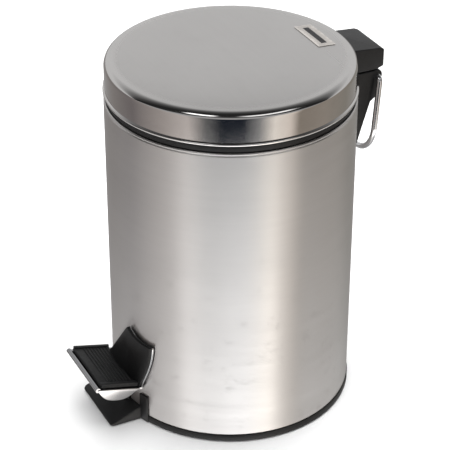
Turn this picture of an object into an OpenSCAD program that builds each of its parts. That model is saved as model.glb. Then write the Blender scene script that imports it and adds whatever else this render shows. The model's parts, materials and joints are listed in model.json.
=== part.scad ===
// Round pedal bin with a hinged lid, a liner bucket and a hanging carry bail.
// The origin is on the floor, on the drum's axis. The pedal faces -Y and the hinge faces +Y.

/* [Drum] */
// Outer radius of the drum
body_r = 85; // [70:1:110]
// Height of the drum's top edge above the floor
body_h = 227; // [190:1:300]
// Thickness of the drum's sheet
body_wall = 0.8; // [0.6:0.1:1.2]
// Radius of the rolled bead at the drum's top edge
rim_bead_r = 0.9; // [0.6:0.1:1.2]

/* [Base] */
// Height of the foot ring
ring_h = 6; // [5:0.5:9]
// How far the foot ring stands out from the drum
ring_out = 0.6; // [0.3:0.1:1.5]
// Thickness of the base floor
floor_t = 2; // [1.5:0.1:3]
// Radius of one rubber foot
foot_r = 6; // [4:0.5:8]
// Height of one rubber foot below the base floor
foot_h = 1.6; // [1:0.1:3]
// Length of the tongue in front of the drum
tongue_l = 20.5; // [14:0.5:28]
// Width of the tongue
tongue_w = 51; // [40:1:60]
// Height of the slot cheeks
cheek_h = 22; // [18:1:30]
// Width of one slot cheek
cheek_t = 7; // [4:0.5:9]

/* [Liner bucket] */
// Height of the bucket's rim above the drum
rim_h = 4.8; // [3.5:0.1:8]
// Radius of the bucket's mouth
bucket_r = 73; // [60:1:74]
// Thickness of the bucket's wall
bucket_wall = 1.3; // [1:0.1:2]
// Height of the bucket's floor above the ground
bucket_z = 42; // [40:1:60]
// Thickness of the bucket's handle wire
bucket_wire_d = 2.4; // [2:0.1:3]

/* [Lid] */
// Height of the lid
lid_h = 25; // [20:0.2:32]
// Thickness of the lid's sheet
lid_wall = 0.8; // [0.6:0.1:1.2]
// Radius of the lid's shoulder
lid_fillet = 5; // [3:0.5:8]
// How far the lid opens, in degrees
lid_open = 75; // [60:1:78]

/* [Hinge housing] */
// Width of the housing
housing_w = 36; // [30:1:44]
// Distance of the hinge pin behind the drum
hinge_out = 17; // [16.5:0.5:21]
// Diameter of the hinge pin
hinge_pin_d = 4; // [3:0.1:5]
// Wall of the housing's cap
cap_wall = 1.8; // [1.4:0.1:2.4]

/* [Carry bail] */
// How far the hanging bail leans in towards the drum, in degrees
bail_rest = 4; // [0:0.5:6]
// Thickness of the bail's wire
bail_d = 4; // [3:0.1:5]
// Distance from the bail's pivot to the lowest point of its centre line
bail_drop = 60; // [45:1:70]
// Gap between the bail's leg and the housing
bail_side_gap = 2; // [1:0.5:5]

/* [Pedal] */
// Width of the pedal tray
pedal_w = 55; // [46:1:56]
// Length of the pedal tray
pedal_l = 30; // [24:1:36]
// Slope of the pedal tray, in degrees
pedal_slope = 14; // [8:0.5:16]
// Height of the guard's peak above the ground
guard_top = 74; // [60:1:80]
// Thickness of the guard
guard_t = 1.7; // [1.4:0.1:3]

/* [Lever and rod] */
// Distance of the lever's axle in front of the drum's axis
pivot_front = 20; // [10:1:30]
// Height of the axle above the ground
pivot_z = 16.4; // [13:0.2:18]
// Slope of the lever, in degrees
lever_tilt = 5.4; // [4:0.1:6]
// Width of the lever
lever_w = 16; // [12:1:18]
// Thickness of the lever's sheet
lever_t = 1.6; // [1.2:0.1:2]
// Diameter of the axle
axle_d = 4; // [3:0.1:5]
// Diameter of the push rod
rod_d = 3; // [2.5:0.1:4]
// Distance of the push rod from the drum's outer wall
rod_in = 7.5; // [7:0.1:9]

/* [Hidden] */
$fn = 96;

run_gap = 0.05;   // radial clearance of a running fit
seat_gap = 0.02;  // clearance between pieces that are fixed to each other
move_gap = 0.5;   // clearance between pieces that move past each other
big = 400;        // longer than any cut

// Drum and base
body_in = body_r - body_wall;
ring_r = body_r + ring_out;
ring_z = 0.6;
floor_z = foot_h + floor_t;
spigot_t = 1.8;
spigot_h = 8;
slot_w = lever_w + 8;
tongue_r = 3;
tongue_nose = 2.4;
tongue_rise = 10.5;
trench_l = 3.5;
hub_r = 14;
foot_ring_r = 66;

// Bucket
rim_bottom = body_h + seat_gap;
rim_top = body_h + rim_h;
rim_r = body_r - 1.5;
rim_t = 1.5;
bucket_bottom_r = bucket_r - 7;
bucket_flat_y = body_r - 23;
bucket_notch_w = 22;

// Lid
lid_z = body_h + 5;
lid_r = body_r - 0.8;
lid_bead_r = body_r + 0.4;
lid_bead_h = 1.8;
lid_dome = 2.2;
lid_top = lid_z + lid_h;

// Hinge
hinge_y = body_r + hinge_out;
hinge_z = lid_z + 7.5;
pin_r = hinge_pin_d / 2;
cap_x = housing_w / 2;
cap_in_x = cap_x - cap_wall;
cap_back = 5.5;
cap_top_back = hinge_z + 5;
cap_top_front = hinge_z + 8.6;
cap_low = hinge_z - 9.1;
cap_low_back = hinge_z - 7.3;
cap_reach = norm([cap_back, hinge_z - cap_low_back]);
arm_t = 2.5;
arm_x = 11;
arm_h = 3.4;
arm_back = hinge_y - cap_reach - 0.6;
flange_h = 2.6;
flange_z = hinge_z + arm_h + 1.4;

// Bracket and bail
bracket_top = hinge_z - cap_reach - 0.75;
lug_r = 4.4;
bail_y = hinge_y + 0.5;
bail_z = bracket_top - lug_r + 0.4;
bail_x = cap_x + bail_side_gap + bail_d / 2;
bail_hole = 6;
bail_leg = bail_drop - bail_x;
bracket_step_z = bail_z - 16;
bracket_tip_z = bail_z - 52;
screw_r = 1.5;
screw_z = [bail_z - 12, bail_z - 28];

// Rod and crank
rod_r = rod_d / 2;
rod_y = body_r - rod_in;
crank_arm = hinge_y - rod_y;
rod_travel = crank_arm * tan(lid_open / 2);
crank_drift = crank_arm * 0.036;
crank_x = 3.5;
crank_t = 2;
crank_edge = 1.8;
crank_slot_r = rod_r + 0.25;
crank_tab_w = 24;
rivet_r = 1.2;
rivet_x = 8;
rivet_z = flange_z + flange_h / 2;

// Lever
axle_r = axle_d / 2;
lever_rear = (rod_y + pivot_front) / cos(lever_tilt);
lever_front = body_r - pivot_front + 1.5;
web_z = 3;
flange_down = 4;
rod_hole_r = rod_r + 1;
lever_end = min(lever_rear + rod_hole_r + 1.6, (body_in - spigot_t - 0.7 + pivot_front) / cos(lever_tilt));
lever_end_w = 10;
ear_x = lever_w / 2 + 4;
ear_t = 2;
ear_r = 5;
axle_l = 2 * (ear_x + ear_t) + 7;
clip_t = 1;
clip_r = axle_r + 2.2;
rod_web_z = pivot_z - lever_rear * sin(lever_tilt) + (web_z + lever_t) * cos(lever_tilt);
collar_z = rod_web_z + 0.6;
collar_r = rod_r + 1.7;
collar_h = 2.5;
guide_z = body_h / 2;
guide_h = 8;
guide_w = 12;

// Pedal
guard_back_r = body_r + 0.9;
guard_back_t = 0.8;
guard_tip_z = guard_top - 7;
guard_tip_x = pedal_w / 2 + 10.5;
guard_peak_x = pedal_w / 2 - 12;
guard_r = guard_back_r + guard_back_t + seat_gap;
tray_t = 1.2;
tray_y = -(body_r + 0.5);
tray_z = pivot_z + (body_r - pivot_front) * sin(lever_tilt) + (web_z + lever_t) * cos(lever_tilt) + 0.9;
lip_r = 1.75;
skirt_t = 1.2;
skirt_deep = 8;
pad_t = 2.8;
pad_w = pedal_w - 3;
rib_n = 8;
rib_pitch = 2.5;
rib_w = 1.2;
rib_h = 0.8;
guard_low = tray_z + 0.4;
tray_rivet_y = [-7, -13];

// Revolves a wall from radius a to radius b and from height z0 to z1
module ring(a, b, z0, z1) {
    translate([0, 0, z0]) difference() {
        cylinder(r = b, h = z1 - z0);
        translate([0, 0, -1]) cylinder(r = a, h = z1 - z0 + 2);
    }
}

// Cylinder along X, centred on x = 0
module bar_x(r, l) {
    rotate([0, 90, 0]) cylinder(r = r, h = l, center = true);
}

// Extrudes a side outline, given as [y, z] points, along X to a full width w
module side_plate(points, w) {
    rotate([90, 0, 90]) translate([0, 0, -w / 2]) linear_extrude(w) polygon(points);
}

// Points on an arc of radius r about c, from angle a0 to a1
function arc(c, r, a0, a1, n = 8) =
    [for (i = [0:n]) c + r * [cos(a0 + (a1 - a0) * i / n), sin(a0 + (a1 - a0) * i / n)]];

// Places a child at the axle, in the lever's own sloping frame
module at_lever() {
    translate([0, -pivot_front, pivot_z]) rotate([-lever_tilt, 0, 0]) children();
}

// Places a child at the inner end of the tray, in the tray's own sloping frame
module at_tray() {
    translate([0, tray_y, tray_z]) rotate([-pedal_slope, 0, 0]) children();
}

// Everything more than h above the underside of the tray's floor
module above_tray(h) {
    at_tray() translate([-big / 2, -big / 2, h]) cube(big);
}

// Sheet drum with a rolled top bead, a lever slot in front and two screw holes behind
module outer_body() {
    color("silver") difference() {
        union() {
            ring(body_in, body_r, ring_h, body_h - rim_bead_r);
            translate([0, 0, body_h - rim_bead_r])
                rotate_extrude() translate([body_r - rim_bead_r, 0]) circle(r = rim_bead_r, $fn = 32);
        }
        translate([-slot_w / 2, -big, ring_h + 1]) cube([slot_w, big, cheek_h]);
        for (z = screw_z)
            translate([0, body_r, z]) rotate([90, 0, 0]) cylinder(r = screw_r + run_gap, h = 20, center = true);
    }
}

// Outline of the tongue seen from above, with round outer corners
function tongue_plan() = concat(
    [[tongue_w / 2, -body_r + 8]],
    [[-tongue_w / 2, -body_r + 8]],
    arc([-tongue_w / 2 + tongue_r, -body_r - tongue_l + tongue_r], tongue_r, 180, 270),
    arc([tongue_w / 2 - tongue_r, -body_r - tongue_l + tongue_r], tongue_r, 270, 360));

// Foot ring, floor, hub, spigot, tongue and the two cheeks beside the lever slot
module base() {
    cheek_out = body_r + 1.4;
    color([0.12, 0.12, 0.13]) difference() {
        union() {
            ring(body_in - spigot_t, ring_r, ring_z, ring_h);
            ring(body_in - spigot_t, body_in - run_gap, ring_h, ring_h + spigot_h);
            translate([0, 0, foot_h]) cylinder(r = body_in - spigot_t, h = floor_t);
            cylinder(r = hub_r, h = floor_z);
            difference() {
                intersection() {
                    translate([0, 0, ring_z]) linear_extrude(cheek_h) polygon(tongue_plan());
                    side_plate([[-body_r + 8, 0], [-big, 0], [-big, tongue_nose],
                                [-body_r - tongue_l, tongue_nose], [-body_r, tongue_rise],
                                [-body_r + 8, tongue_rise]], tongue_w + 2);
                }
                translate([0, 0, -1]) cylinder(r = body_r + seat_gap, h = big);
            }
            for (s = [-1, 1])
                intersection() {
                    ring(body_r + seat_gap, cheek_out, ring_z, cheek_h);
                    translate([s * (tongue_w / 2 - 1 + cheek_t / 2), -body_r, 0])
                        cube([cheek_t, 60, big], center = true);
                }
        }
        translate([-slot_w / 2, -body_r - trench_l, ring_h]) cube([slot_w, 2 * body_r, big]);
        for (a = [45:90:315])
            rotate(a) translate([foot_ring_r, 0, -1]) cylinder(r = foot_r * 0.5, h = foot_h + 2);
        for (x = [-6, 6])
            translate([x, -pivot_front, foot_h + 0.6]) cylinder(r = screw_r, h = 20, $fn = 32);
    }
}

// Four rubber feet, each with a stem pressed into the base floor
module rubber_feet() {
    color([0.2, 0.2, 0.2]) for (a = [45:90:315])
        rotate(a) translate([foot_ring_r, 0, 0]) {
            cylinder(r = foot_r, h = foot_h - seat_gap);
            cylinder(r = foot_r * 0.5 - seat_gap, h = foot_h + 0.8);
        }
}

// U-shaped steel bracket that carries the axle
module pivot_bracket() {
    plate_t = 1.4;
    color("gainsboro") difference() {
        union() {
            translate([-ear_x - ear_t, -pivot_front - 8, floor_z]) cube([2 * (ear_x + ear_t), 16, plate_t]);
            for (s = [-1, 1])
                translate([s * (ear_x + ear_t / 2), -pivot_front, 0]) {
                    translate([-ear_t / 2, -ear_r, floor_z]) cube([ear_t, 2 * ear_r, pivot_z - floor_z]);
                    translate([0, 0, pivot_z]) bar_x(ear_r, ear_t);
                }
        }
        translate([0, -pivot_front, pivot_z]) bar_x(axle_r + run_gap, big);
        for (x = [-6, 6])
            translate([x, -pivot_front, 0]) cylinder(r = screw_r + run_gap, h = 20, $fn = 32);
    }
}

// Two pan-head screws that hold the bracket on the base
module pivot_screws() {
    color("silver") for (x = [-6, 6])
        translate([x, -pivot_front, 0]) {
            translate([0, 0, foot_h + 0.8]) cylinder(r = screw_r - seat_gap, h = 4, $fn = 32);
            translate([0, 0, floor_z + 1.4 + seat_gap]) cylinder(r = 2.6, h = 1.3, $fn = 32);
        }
}

// Axle of the pedal lever
module pedal_axle() {
    color("silver") translate([0, -pivot_front, pivot_z]) bar_x(axle_r, axle_l);
}

// Push-on clips at the axle's ends
module axle_clips() {
    color("dimgray") for (s = [-1, 1])
        translate([s * (ear_x + ear_t + clip_t / 2 + 0.3), -pivot_front, pivot_z])
            difference() {
                bar_x(clip_r, clip_t);
                bar_x(axle_r + seat_gap, clip_t + 2);
            }
}

// Side outline of a lever flange: shallow in front, deep at the axle
function lever_side() = [
    [-lever_front, web_z + lever_t], [-lever_front, web_z - 2], [-30, web_z - 2], [-12, -flange_down],
    [12, -flange_down], [40, web_z - 2], [60, web_z + lever_t]];

// Steel channel lever, with a hole for the push rod at its rear end
module pedal_lever() {
    nose = 16;
    color("silver") {
        at_lever() difference() {
            union() {
                translate([-lever_w / 2, -lever_front, web_z]) cube([lever_w, lever_front + 60, lever_t]);
                translate([-lever_end_w / 2, 59, web_z]) cube([lever_end_w, lever_end - 59, lever_t]);
                for (s = [-1, 1])
                    translate([s * (lever_w - lever_t) / 2, 0, 0]) side_plate(lever_side(), lever_t);
            }
            bar_x(axle_r + run_gap, big);
            translate([0, lever_rear, 0]) cylinder(r = rod_hole_r, h = 20, $fn = 32);
        }
        at_tray() difference() {
            translate([-lever_w / 2 + 0.5, -nose, -lever_t - seat_gap]) cube([lever_w - 1, nose + 1.5, lever_t]);
            for (y = tray_rivet_y)
                translate([0, y, -5]) cylinder(r = rivet_r + seat_gap, h = 10, $fn = 32);
        }
    }
}

// Side outline of a tray skirt: straight on top, bowed below
function skirt_side() = concat(
    [[-pedal_l, tray_t], [-pedal_l, 0]],
    [for (i = [1:11]) [-pedal_l + pedal_l * i / 12, -skirt_deep * (1 - pow(abs(i / 6 - 1), 2.6))]],
    [[0, 0], [0, tray_t]]);

// Bright steel tray with a rolled outer lip, two skirts and the guard's back plate
module pedal_tray() {
    color("gainsboro") {
        difference() {
            at_tray() {
                difference() {
                    translate([-pedal_w / 2, -pedal_l, 0]) cube([pedal_w, pedal_l + 4, tray_t]);
                    for (y = tray_rivet_y)
                        translate([0, y, -1]) cylinder(r = rivet_r + seat_gap, h = 10, $fn = 32);
                }
                translate([0, -pedal_l, tray_t / 2]) bar_x(lip_r, pedal_w - 1);
                for (s = [-1, 1])
                    translate([s * (pedal_w - skirt_t) / 2, 0, 0]) side_plate(skirt_side(), skirt_t);
            }
            cylinder(r = guard_back_r, h = big);
        }
        intersection() {
            ring(guard_back_r, guard_back_r + guard_back_t, guard_low, big / 2);
            guard_outline(0);
            above_tray(tray_t / 2);
        }
    }
}

// Rivets between the tray and the lever
module tray_rivets() {
    color("silver") at_tray() for (y = tray_rivet_y)
        translate([0, y, 0]) {
            translate([0, 0, -lever_t - 0.1]) cylinder(r = rivet_r, h = lever_t + tray_t + 0.1, $fn = 32);
            translate([0, 0, -lever_t - 1]) cylinder(r = 2.4, h = 0.95, $fn = 32);
        }
}

// Black tread pad with a smooth outer band, ribs and a rim on each side
module tread_pad() {
    pad_out = pedal_l - lip_r - 0.4;
    color([0.16, 0.16, 0.17]) difference() {
        at_tray() {
            translate([-pad_w / 2, -pad_out, tray_t + seat_gap]) cube([pad_w, pad_out + 4, pad_t]);
            for (i = [0:rib_n - 1])
                translate([-pad_w / 2 + 4, -3 - i * rib_pitch - rib_w, tray_t + pad_t - 0.1])
                    cube([pad_w - 8, rib_w, rib_h + 0.1]);
            for (s = [-1, 1])
                translate([s * (pad_w / 2 - 1.5) - 1.5, -pad_out, tray_t + pad_t - 0.1])
                    cube([3, pad_out, rib_h + 0.3]);
        }
        cylinder(r = guard_r + guard_t + seat_gap, h = big);
    }
}

// Outline of the guard seen from the front: it leans to one side, with a peak and a lower tip
module guard_outline(grow) {
    low = guard_low;
    half = pedal_w / 2 - 1 + grow;
    tip = guard_tip_x + grow;
    peak = guard_peak_x;
    near_h = guard_tip_z - low;
    far_h = guard_top + grow - low;
    n = 12;
    near = [for (i = [0:n]) [half + (tip - half) * sin(90 * i / n), low + near_h * i / n]];
    top = [for (i = [1:n - 1])
        [tip + (peak - tip) * i / n, guard_tip_z + (guard_top + grow - guard_tip_z) * pow(i / n, 2.6)]];
    far = [for (i = [n:-1:0]) [(peak + half) * pow(i / n, 0.78) - half, low + far_h * i / n]];
    rotate([90, 0, 0]) linear_extrude(big) polygon(concat(near, top, far));
}

// Upright guard that follows the drum
module pedal_guard() {
    color([0.14, 0.14, 0.15]) intersection() {
        ring(guard_r, guard_r + guard_t, guard_low, big / 2);
        guard_outline(-0.4);
        above_tray(tray_t + seat_gap);
    }
}

// Push rod with its top end bent over into the crank's slot
module push_rod() {
    tail = foot_h + floor_t + 0.8;
    color("silver") translate([0, rod_y, 0]) {
        translate([0, 0, tail]) cylinder(r = rod_r, h = hinge_z - tail);
        translate([0, 0, hinge_z]) sphere(r = rod_r);
        translate([0, 0, hinge_z]) rotate([0, 90, 0]) cylinder(r = rod_r, h = crank_x + crank_t + 2.5);
    }
}

// Collar that the lever lifts
module rod_collar() {
    color("dimgray") translate([0, rod_y, 0])
        ring(rod_r + seat_gap, collar_r, collar_z, collar_z + collar_h);
}

// Plastic guide on the drum's inner wall
module rod_guide() {
    color([0.14, 0.14, 0.15]) difference() {
        intersection() {
            translate([-guide_w / 2, rod_y - rod_r - 2, guide_z]) cube([guide_w, 30, guide_h]);
            cylinder(r = body_in - seat_gap, h = big);
        }
        translate([0, rod_y, 0]) cylinder(r = rod_r + 0.08, h = big);
    }
}

// Outer or inner form of the bucket: a slight cone with a flat at the back
module bucket_form(inset, z0) {
    intersection() {
        translate([0, 0, z0])
            cylinder(r1 = bucket_bottom_r - inset, r2 = bucket_r - inset, h = rim_top - z0);
        translate([-big / 2, bucket_flat_y - inset - big, 0]) cube([big, big, big]);
    }
}

// Black liner bucket with a rim that rests on the drum
module inner_bucket() {
    color([0.13, 0.13, 0.14]) difference() {
        union() {
            bucket_form(0, bucket_z);
            ring(bucket_r - 12, rim_r, rim_top - rim_t, rim_top);
            ring(rim_r - 2.5, rim_r, rim_bottom, rim_top);
        }
        translate([0, 0, bucket_wall]) bucket_form(bucket_wall, bucket_z);
        translate([0, 0, rim_top - 5]) bucket_form(bucket_wall, 0);
        translate([-bucket_notch_w / 2, bucket_flat_y + 0.01, rim_bottom - 1])
            cube([bucket_notch_w, 40, 20]);
        translate([0, 0, rim_bottom - 6]) bar_x(bucket_wire_d / 2 + run_gap, big);
    }
}

// Wire handle of the bucket, lying in its mouth towards the pedal
module bucket_bail() {
    wire = bucket_wire_d / 2;
    loop_r = bucket_r - 2 * bucket_wall - wire - 1.4;
    color("silver") translate([0, 0, rim_bottom - 6]) {
        rotate(180) rotate_extrude(angle = 180) translate([loop_r, 0]) circle(r = wire, $fn = 24);
        for (s = [-1, 1])
            translate([s * loop_r, 0, 0]) {
                sphere(r = wire, $fn = 24);
                rotate([0, s * 90, 0]) cylinder(r = wire, h = bucket_r - loop_r + 1, $fn = 24);
            }
    }
}

// Line of the lid's dome from its shoulder to its middle, raised by up
function lid_dome_line(up) =
    [for (i = [0:6]) let (r = (lid_r - lid_fillet) * (1 - i / 6))
        [r, lid_top + up - lid_dome * pow(r / (lid_r - lid_fillet), 4)]];

// Half section of the lid's outer or inner skin
function lid_profile(t, z0) = concat(
    [[0, z0], [lid_r - t, z0]],
    arc([lid_r - lid_fillet, lid_top - lid_dome - lid_fillet], lid_fillet - t, 0, 84, 10),
    [for (i = [1:6]) lid_dome_line(-t)[i]]);

// Steel lid cap with a small bead at its edge and two rivet holes behind
module lid_shell() {
    bead_t = lid_bead_r - lid_r + lid_wall;
    color("silver") difference() {
        union() {
            difference() {
                rotate_extrude() polygon(lid_profile(0, lid_z + lid_bead_h - 0.5));
                rotate_extrude() polygon(lid_profile(lid_wall, lid_z - 1));
            }
            ring(lid_bead_r - bead_t, lid_bead_r, lid_z, lid_z + lid_bead_h);
        }
        for (x = [-rivet_x, rivet_x])
            translate([x, body_r - 5, rivet_z]) rotate([-90, 0, 0]) cylinder(r = rivet_r + seat_gap, h = 20, $fn = 32);
    }
}

// Steel crank under the lid: a curved tab on the lid's wall and a slotted plate for the rod
module lid_crank() {
    tab_r = lid_r - lid_wall - seat_gap;
    slot_mid = rod_y - crank_drift / 2;
    slot_half = crank_drift / 2 + crank_slot_r;
    slot_low = hinge_z - rod_travel - crank_slot_r;
    slot_high = hinge_z + crank_slot_r;
    plate_y0 = slot_mid - slot_half - crank_edge;
    plate_y1 = slot_mid + slot_half + crank_edge;
    color("gainsboro") difference() {
        union() {
            intersection() {
                ring(tab_r - 1.4, tab_r, flange_z - 2, flange_z + flange_h + 1.2);
                translate([-crank_tab_w / 2, 0, 0]) cube([crank_tab_w, big, big]);
            }
            translate([crank_x, plate_y0, slot_low - crank_edge])
                cube([crank_t, plate_y1 - plate_y0, flange_z + flange_h + 1.2 - slot_low + crank_edge]);
            intersection() {
                translate([crank_x, plate_y1 - 1, flange_z - 2]) cube([crank_t, 20, flange_h + 3.2]);
                cylinder(r = tab_r - 0.5, h = big);
            }
        }
        translate([crank_x - 1, slot_mid - slot_half, slot_low])
            cube([crank_t + 2, 2 * slot_half, slot_high - slot_low]);
        for (x = [-rivet_x, rivet_x])
            translate([x, body_r - 10, rivet_z]) rotate([-90, 0, 0]) cylinder(r = rivet_r + seat_gap, h = 20, $fn = 32);
    }
}

// Small rubber bumpers inside the lid's edge
module lid_bumpers() {
    bumper_w = 9;
    outer = lid_r - lid_wall - seat_gap;
    color([0.2, 0.2, 0.2]) for (a = [-90, 20, 160])
        rotate(a) intersection() {
            ring(outer - 3.4, outer, rim_top + 0.25, lid_z + 6);
            translate([0, -bumper_w / 2, 0]) cube([big, bumper_w, big]);
        }
}

// Plain badge near the hinge
module lid_label() {
    badge_w = 35;
    badge_l = 13;
    badge_y = lid_r - 21.2;
    badge_t = 0.4;
    color("dimgray") intersection() {
        rotate_extrude() polygon(concat(lid_dome_line(seat_gap), [for (i = [6:-1:0]) lid_dome_line(badge_t)[i]]));
        translate([-badge_w / 2, badge_y - badge_l / 2, 0]) cube([badge_w, badge_l, big]);
    }
}

// Side outline of the cap
function cap_side() = [
    [body_r - 6, cap_low], [hinge_y, cap_low], [hinge_y + cap_back, cap_low_back],
    [hinge_y + cap_back, cap_top_back], [hinge_y + 2, cap_top_back + 1.6], [body_r - 6, cap_top_front]];

// Inner side outline of the cap, one wall smaller at the back and at the top
function cap_side_in() = [
    [body_r - 20, cap_low - 20], [hinge_y + cap_back - cap_wall, cap_low - 20],
    [hinge_y + cap_back - cap_wall, cap_top_back - cap_wall], [hinge_y + 1, cap_top_back + 1.4 - cap_wall],
    [body_r - 20, cap_top_front - cap_wall + 0.3]];

// Upper half of the hinge housing, riveted to the lid
module hinge_cap() {
    color([0.12, 0.12, 0.13]) difference() {
        union() {
            difference() {
                side_plate(cap_side(), housing_w);
                side_plate(cap_side_in(), 2 * cap_in_x);
            }
            translate([-cap_in_x - 0.5, body_r - 6, flange_z]) cube([2 * cap_in_x + 1, 8.5, flange_h]);
        }
        cylinder(r = lid_r + seat_gap, h = big);
        cylinder(r = lid_bead_r + seat_gap, h = lid_z + lid_bead_h + seat_gap);
        translate([0, hinge_y, hinge_z]) bar_x(pin_r + run_gap, housing_w - 1.4);
        for (x = [-rivet_x, rivet_x])
            translate([x, body_r - 5, rivet_z]) rotate([-90, 0, 0]) cylinder(r = rivet_r + seat_gap, h = 20, $fn = 32);
    }
}

// Rivets through the crank, the lid's wall and the cap
module cap_rivets() {
    tab_y = sqrt(pow(lid_r - lid_wall - 1.5, 2) - pow(rivet_x + 2.4, 2));
    color("silver") for (x = [-rivet_x, rivet_x])
        translate([x, 0, rivet_z]) rotate([-90, 0, 0]) {
            translate([0, 0, tab_y - 1]) cylinder(r = rivet_r, h = body_r + 2 - tab_y, $fn = 32);
            translate([0, 0, tab_y - 1.1]) cylinder(r = 2.2, h = 1, $fn = 32);
        }
}

// Hinge pin of the lid
module hinge_pin() {
    color("silver") translate([0, hinge_y, hinge_z]) bar_x(pin_r, housing_w - 2);
}

// Side outline of the bracket below the seam, with its pivot lug
function bracket_side() = concat(
    [[body_r - 4, bracket_top], [arm_back + 3, bracket_top]],
    arc([bail_y, bail_z], lug_r, 115, -40, 12),
    [[bail_y + 0.6, bail_z - lug_r - 3], [bail_y + 0.4, bracket_step_z], [bail_y - 4, bracket_step_z - 3],
     [bail_y - 9, bracket_step_z - 19], [body_r + 4, bracket_tip_z + 2], [body_r - 4, bracket_tip_z]]);

// Lower half of the housing, fixed to the drum, with two arms that carry the hinge pin
module hinge_bracket() {
    arm = [[body_r + 1.6, bracket_top - 1], [arm_back, bracket_top - 1], [arm_back, hinge_z - arm_h],
           [hinge_y, hinge_z - arm_h], [hinge_y, hinge_z + arm_h], [body_r + 1.6, hinge_z + arm_h]];
    color([0.12, 0.12, 0.13]) difference() {
        union() {
            side_plate(bracket_side(), housing_w);
            for (s = [-1, 1])
                translate([s * (arm_x + arm_t / 2), 0, 0]) {
                    side_plate(arm, arm_t);
                    translate([0, hinge_y, hinge_z]) bar_x(arm_h, arm_t);
                }
        }
        cylinder(r = body_r + seat_gap, h = big);
        translate([0, hinge_y, hinge_z]) bar_x(pin_r + run_gap, big);
        for (s = [-1, 1])
            translate([s * cap_x, bail_y, bail_z]) bar_x(bail_d / 2 + run_gap, 2 * bail_hole);
        for (z = screw_z)
            translate([0, body_r - 5, z]) rotate([-90, 0, 0]) cylinder(r = screw_r + run_gap, h = 14);
    }
}

// Screws from inside the drum into the bracket
module bracket_screws() {
    color("silver") for (z = screw_z)
        translate([0, body_in, z]) rotate([90, 0, 0]) {
            translate([0, 0, -8]) cylinder(r = screw_r, h = 8.2);
            translate([0, 0, 0.1]) cylinder(r = 3, h = 1.5);
        }
}

// Wire bail: two legs, a round bottom and two ends bent into the lug
module carry_bail() {
    wire = bail_d / 2;
    color("silver") translate([0, bail_y, bail_z]) rotate([-bail_rest, 0, 0]) {
        for (s = [-1, 1]) {
            translate([s * bail_x, 0, -bail_leg]) cylinder(r = wire, h = bail_leg);
            translate([s * bail_x, 0, 0]) sphere(r = wire);
            translate([s * bail_x, 0, 0]) rotate([0, -s * 90, 0])
                cylinder(r = wire, h = bail_x - cap_x + bail_hole - 1);
        }
        translate([0, 0, -bail_leg]) rotate([-90, 0, 0]) rotate_extrude(angle = 180)
            translate([bail_x, 0]) circle(r = wire, $fn = 32);
    }
}

outer_body();
base();
rubber_feet();
pivot_bracket();
pivot_screws();
pedal_axle();
axle_clips();
pedal_lever();
pedal_tray();
tray_rivets();
tread_pad();
pedal_guard();
push_rod();
rod_collar();
rod_guide();
inner_bucket();
bucket_bail();
lid_shell();
lid_crank();
lid_bumpers();
lid_label();
hinge_cap();
cap_rivets();
hinge_pin();
hinge_bracket();
bracket_screws();
carry_bail();
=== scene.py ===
import json
import math
import bpy
from mathutils import Matrix, Vector


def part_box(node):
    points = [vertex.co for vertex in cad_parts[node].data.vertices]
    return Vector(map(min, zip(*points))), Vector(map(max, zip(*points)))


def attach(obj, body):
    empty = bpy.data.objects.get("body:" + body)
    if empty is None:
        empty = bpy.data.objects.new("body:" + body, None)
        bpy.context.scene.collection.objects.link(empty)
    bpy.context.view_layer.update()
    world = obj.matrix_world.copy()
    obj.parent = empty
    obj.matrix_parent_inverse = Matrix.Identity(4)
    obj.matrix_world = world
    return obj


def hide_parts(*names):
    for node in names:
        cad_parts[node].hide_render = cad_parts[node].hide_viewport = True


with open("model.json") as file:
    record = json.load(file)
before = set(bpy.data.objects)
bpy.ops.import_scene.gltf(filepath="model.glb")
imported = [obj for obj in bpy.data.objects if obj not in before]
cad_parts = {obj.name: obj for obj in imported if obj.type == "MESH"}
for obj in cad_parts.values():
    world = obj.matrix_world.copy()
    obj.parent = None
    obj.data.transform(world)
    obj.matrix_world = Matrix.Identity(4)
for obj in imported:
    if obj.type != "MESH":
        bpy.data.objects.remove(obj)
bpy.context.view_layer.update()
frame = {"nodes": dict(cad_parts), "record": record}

mm = 0.001
print("frame loaded:", len(frame["nodes"]), "CAD nodes")

# places read from the frame
joints = {joint["name"]: joint for joint in frame["record"]["behaviour"]["joints"]}
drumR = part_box("outer_body")[1].x
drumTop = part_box("outer_body")[1].z
lidLow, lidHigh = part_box("lid_shell")
bucketLow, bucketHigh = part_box("inner_bucket")
capLow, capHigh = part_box("hinge_cap")
hingeY, hingeZ = joints["lid_hinge"]["pos_m"][1:]
bailY, bailZ = joints["carry_bail_swing"]["pos_m"][1:]
roundSteps = 256  # segments round the drum and the lid
farLow, farHigh = 200, 300  # cutters for the hinge housing reach past it, in millimetres


# small modelling helpers
def objectMode():
    if bpy.context.mode != "OBJECT":
        bpy.ops.object.mode_set(mode="OBJECT")


def clearSelection():
    objectMode()
    bpy.ops.object.select_all(action="DESELECT")


def makeActive(piece):
    clearSelection()
    piece.select_set(True)
    bpy.context.view_layer.objects.active = piece


def named(name):
    piece = bpy.context.active_object  # the primitive that was just added
    piece.name = name
    piece.data.name = name
    bpy.ops.object.transform_apply(location=True, rotation=True, scale=True)
    return piece


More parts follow.
